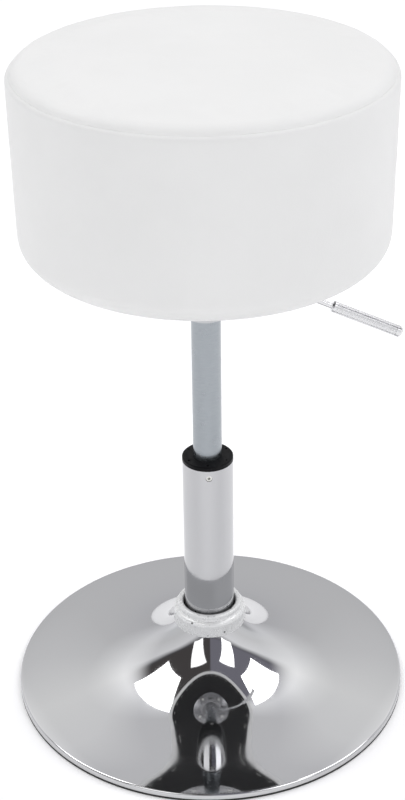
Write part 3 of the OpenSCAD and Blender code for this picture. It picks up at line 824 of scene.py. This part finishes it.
def panel(name, places, first, last, pole):
    """The cover's rows from first to last as a sheet of real thickness."""
    work = bmesh.new()
    rings = []
    for k in range(first, last + 1):
        start = k * COVER_SEGMENTS
        rings.append([work.verts.new(p) for p in places[start:start + COVER_SEGMENTS]])
    for lower, upper in zip(rings, rings[1:]):
        for i in range(COVER_SEGMENTS):
            j = (i + 1) % COVER_SEGMENTS
            work.faces.new((lower[i], lower[j], upper[j], upper[i]))
    if pole:
        middle = work.verts.new(places[-1])
        for i in range(COVER_SEGMENTS):
            work.faces.new((rings[-1][i], rings[-1][(i + 1) % COVER_SEGMENTS], middle))
    for face in work.faces:
        face.smooth = True
    mesh = bpy.data.meshes.new(name)
    work.to_mesh(mesh)
    work.free()
    mesh.materials.append(PAINTS["white_vinyl"])
    piece = bpy.data.objects.new(name, mesh)
    bpy.context.scene.collection.objects.link(piece)
    round_off = piece.modifiers.new("round", "SUBSURF")
    round_off.levels = 1
    round_off.render_levels = 1
    thick = piece.modifiers.new("thick", "SOLIDIFY")
    thick.thickness = COVER_THICKNESS
    thick.offset = -1.0
    return piece


def make_cover():
    """The sewn cover: a round top panel and a side band that turns under the board."""
    rows, seam = cover_rows()
    mesh = grid_mesh("cover_work", rows)
    held = [
        k * COVER_SEGMENTS + i
        for k in [*range(0, 8), seam]
        for i in range(COVER_SEGMENTS)
    ]
    places = inflate(mesh, held, 1.6 * MM)
    places = dress_seam(places, rows, seam)
    bpy.data.meshes.remove(mesh)
    top = panel("seat_top_panel", places, seam, len(rows) - 2, True)
    band = panel("seat_side_band", places, 0, seam, False)
    finish_piece(top, "seat", "seat_cover")
    finish_piece(band, "seat", "seat_cover")


def soften(work, depth, scale):
    """Small dents over a foam block, all inwards."""
    work.normal_update()
    for vertex in work.verts:
        dent = noise.noise(vertex.co * scale) * 0.5 + 0.5
        vertex.co -= vertex.normal * depth * dent


def make_foam_blocks():
    """The cut foam inside: a crowned pad on the carcass and a wrap round its sides."""
    low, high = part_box("foam_top")
    wide = high.x
    upper = (wide - TOP_EDGE + 1.6 * MM, high.z - CROWN - TOP_EDGE + 1.6 * MM)
    outline = [(0.0, low.z), (wide * 0.5, low.z), (wide - 4 * MM, low.z)]
    outline += [(wide - 1 * MM, low.z + 1 * MM)]
    outline += [(wide - 0.3 * MM, low.z + 6 * MM), (wide - 0.6 * MM, upper[1] - 8 * MM)]
    outline += arc(upper, TOP_EDGE - 3.9 * MM, 0, 86, 10)
    outline += crown_points(upper[0], high.z, 1.4 * MM, 12)
    work = lathe(outline, 96, closed=False)
    bmesh.ops.recalc_face_normals(work, faces=work.faces)
    soften(work, 0.5 * MM, 60.0)
    pad = mesh_object("foam_pad", work, PAINTS["foam"])
    finish_piece(pad, "seat", "foam_top")

    low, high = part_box("foam_side")
    wide = high.x
    inner = 152.3 * MM
    base = low.z + 4.2 * MM
    lower = (wide - BOTTOM_EDGE + 1 * MM, low.z + BOTTOM_EDGE)
    outline = [(inner, high.z - 0.1 * MM), (inner, base + 1 * MM), (inner + 1 * MM, base)]
    turn = arc(lower, BOTTOM_EDGE - 2 * MM, -90, -4, 12)
    outline += [point for point in turn if point[0] > inner + 1.5 * MM]
    outline += [(wide - 1.4 * MM, 550 * MM), (wide - 0.9 * MM, 590 * MM)]
    outline += [(wide - 0.6 * MM, high.z - 2 * MM)]
    outline += [(wide - 1.6 * MM, high.z - 0.1 * MM)]
    work = lathe(outline, 120)
    bmesh.ops.recalc_face_normals(work, faces=work.faces)
    soften(work, 0.4 * MM, 60.0)
    wrap = mesh_object("foam_wrap", work, PAINTS["foam"])
    finish_piece(wrap, "seat", "foam_side")


def make_dust_sheet():
    """The black cloth under the seat, pulled tight between its staples."""
    low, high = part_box("dust_cover")
    edge = high.x
    height = (low.z + high.z) / 2
    radii = [edge * i / 50 for i in range(1, 51)]
    segments = 144
    bolt_circle = 52 * MM
    hole = 3.6 * MM
    bolts = [
        Vector((math.cos(math.radians(a)), math.sin(math.radians(a)))) * bolt_circle
        for a in (45, 135, 225, 315)
    ]
    work = bmesh.new()
    rings = []
    for radius in radii:
        ring = []
        for i in range(segments):
            a = 2 * math.pi * i / segments
            place = Vector((radius * math.cos(a), radius * math.sin(a)))
            ripple = noise.noise(Vector((place.x * 60, place.y * 60, 4.0))) * 0.12 * MM
            pull = 0.18 * MM * math.cos(24 * (a - math.radians(3)))
            fade = min(1.0, max(0.0, (radius / edge - 0.55) / 0.4))
            ring.append(work.verts.new((place.x, place.y, height + ripple * 0.5 + pull * fade)))
        rings.append(ring)
    middle = work.verts.new((0.0, 0.0, height))
    for i in range(segments):
        work.faces.new((middle, rings[0][i], rings[0][(i + 1) % segments]))
    for lower, upper in zip(rings, rings[1:]):
        for i in range(segments):
            j = (i + 1) % segments
            work.faces.new((lower[i], upper[i], upper[j], lower[j]))
    doomed = [
        face for face in work.faces
        if any((face.calc_center_median().xy - bolt).length < 5.5 * MM for bolt in bolts)
    ]
    bmesh.ops.delete(work, geom=doomed, context="FACES")
    for vertex in work.verts:
        for bolt in bolts:
            gap = vertex.co.xy - bolt
            if vertex.is_boundary and gap.length < 12 * MM:
                place = bolt + gap.normalized() * hole
                vertex.co.x, vertex.co.y = place
    piece = mesh_object("dust_cloth", work, PAINTS["dust_cloth"])
    thick = piece.modifiers.new("thick", "SOLIDIFY")
    thick.thickness = 0.5 * MM
    thick.offset = 0.0
    finish_piece(piece, "seat", "dust_cover")


make_cover()
make_foam_blocks()
make_dust_sheet()
